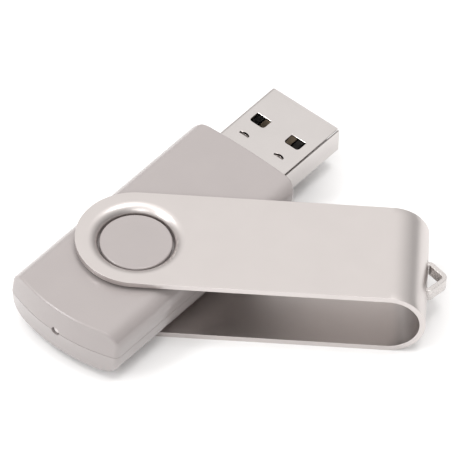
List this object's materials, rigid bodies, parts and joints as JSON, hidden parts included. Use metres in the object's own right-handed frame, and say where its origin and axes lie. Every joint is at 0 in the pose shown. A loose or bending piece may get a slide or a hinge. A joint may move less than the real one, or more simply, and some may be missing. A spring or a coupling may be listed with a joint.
{
  "type": "swivel usb flash drive",
  "caption": "Flat USB flash drive whose metal clip, folded round both faces, swivels about round bosses to cover or bare the plug. A key loop stands on the fold.",
  "frame": {"origin": "on the swivel axis, at the flat underside of the lower boss", "axes": "+Z along the swivel axis, up through the upper boss; +X along the clip, from the swivel towards its fold"},
  "size_m": [0.0578, 0.049, 0.0103],
  "materials": {
    "clip_steel": "satin, fine grain",
    "loop_steel": "satin",
    "body_plastic": "fine matte texture, warm light grey",
    "clear_plastic": "clear",
    "plug_steel": "smooth nickel plate",
    "insulator_plastic": "moulded",
    "contact_gold": "gold plate",
    "board_green": "solder mask",
    "chip_black": "moulded",
    "resistor_black": "glazed",
    "capacitor_tan": "ceramic",
    "crystal_can": "drawn can",
    "led_lens": "clear"
  },
  "bodies": {
    "clip": {"swivel_clip": "clip_steel", "keyring_loop": "loop_steel"},
    "drive": {"top_shell": "body_plastic", "bottom_shell": "body_plastic", "light_pipe": "clear_plastic", "plug_shell": "plug_steel", "plug_insulator": "insulator_plastic", "contact_power": "contact_gold", "contact_data_minus": "contact_gold", "contact_data_plus": "contact_gold", "contact_ground": "contact_gold", "circuit_board": "board_green", "flash_memory_chip": "chip_black", "controller_chip": "chip_black", "crystal": "crystal_can", "status_led": "led_lens", "led_resistor": "resistor_black", "data_resistor_1": "resistor_black", "data_resistor_2": "resistor_black", "decoupling_capacitor_1": "capacitor_tan", "decoupling_capacitor_2": "capacitor_tan", "decoupling_capacitor_3": "capacitor_tan", "crystal_capacitor_1": "capacitor_tan", "crystal_capacitor_2": "capacitor_tan"}
  },
  "joints": [
    {"name": "drive_swivel", "type": "hinge", "parent": "clip", "child": "drive", "pos_m": [0, 0, 0.00435], "axis": [0, 0, 1], "continuous": true}
  ]
}
